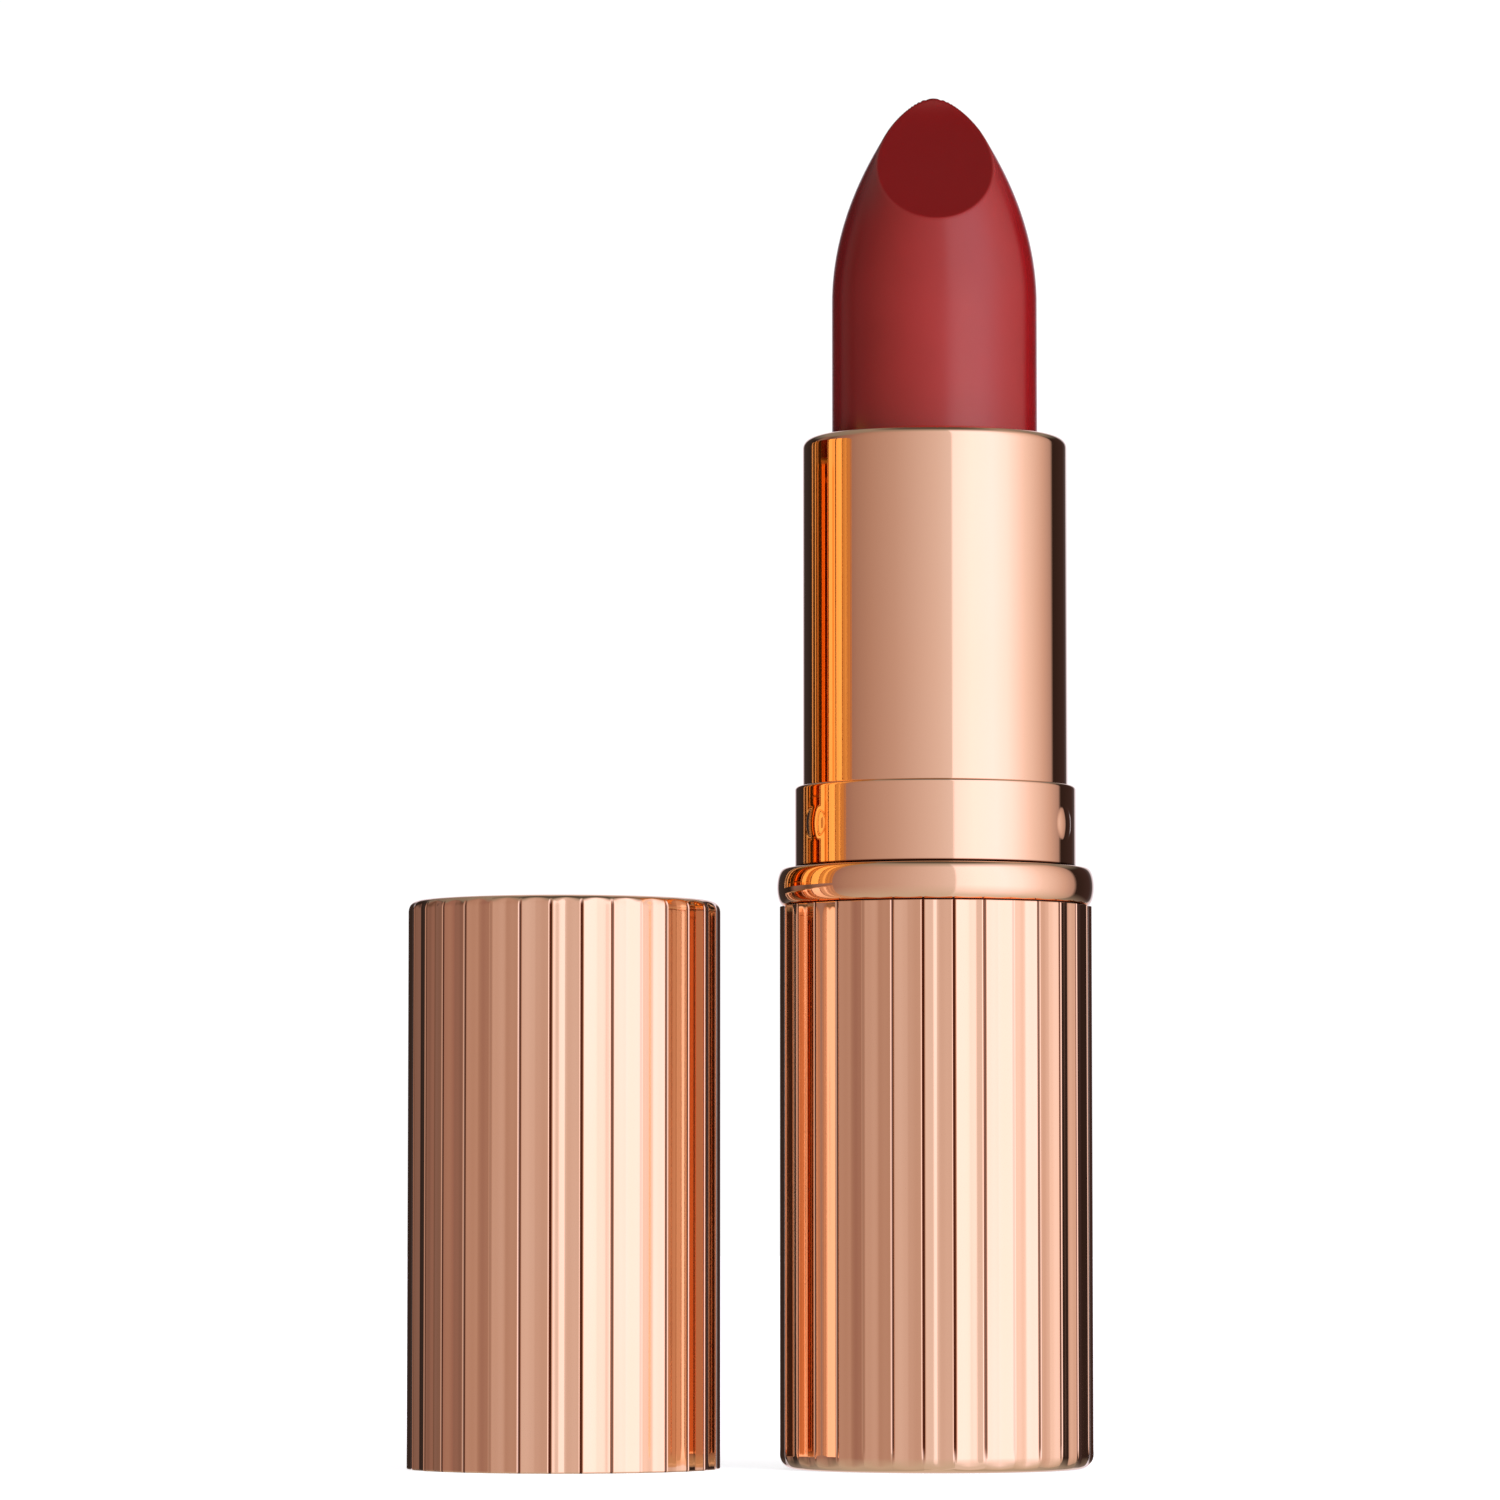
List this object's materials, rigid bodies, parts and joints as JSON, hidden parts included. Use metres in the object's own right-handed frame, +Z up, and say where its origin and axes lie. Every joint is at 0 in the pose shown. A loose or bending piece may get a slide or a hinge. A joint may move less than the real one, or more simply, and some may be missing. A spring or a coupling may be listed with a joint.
{
  "type": "lipstick case",
  "caption": "Open twist-up lipstick in a fluted metal case, with its slanted bullet raised and its cap standing beside it.",
  "frame": {"origin": "on the table, under the middle of the base", "axes": "+Z up along the axis that the sleeve turns about, -Y towards the viewer and the slanted face of the bullet, -X towards the cap standing beside the case"},
  "size_m": [0.0403, 0.0186, 0.0811],
  "materials": {
    "rose_gold": "polished rose-gold anodised",
    "black_plastic": "fine matt moulded",
    "white_plastic": "smooth moulded",
    "steel": "turned, zinc plated",
    "label": "matt coated paper",
    "brake_rubber": "matt silicone rubber",
    "lipstick": "satin red lipstick wax"
  },
  "bodies": {
    "base": {"base_shell": "rose_gold", "base_insert": "black_plastic", "base_weight": "steel", "shade_label": "label", "collar_ring": "rose_gold", "guide_sleeve": "white_plastic", "brake_ring": "brake_rubber"},
    "turning_sleeve": {"sleeve_shell": "rose_gold", "cam_sleeve": "black_plastic"},
    "carrier": {"bullet_cup": "white_plastic", "bullet": "lipstick"},
    "cap": {"cap_shell": "rose_gold", "cap_liner": "black_plastic"}
  },
  "joints": [
    {"name": "sleeve_twist", "type": "hinge", "parent": "base", "child": "turning_sleeve", "pos_m": [0, 0, 0.035], "axis": [0, 0, 1], "range_deg": [0, 450]},
    {"name": "bullet_rise", "type": "slide", "parent": "base", "child": "carrier", "axis": [0, 0, 1], "range_m": [-0.0212, 0]},
    {"name": "cap_lift", "type": "slide", "parent": "base", "child": "cap", "axis": [0, 0, 1], "range_m": [0, 0.0356]}
  ],
  "couplings": [
    {"joint": "bullet_rise", "follows": "sleeve_twist", "m_per_rad": -0.0026992}
  ]
}
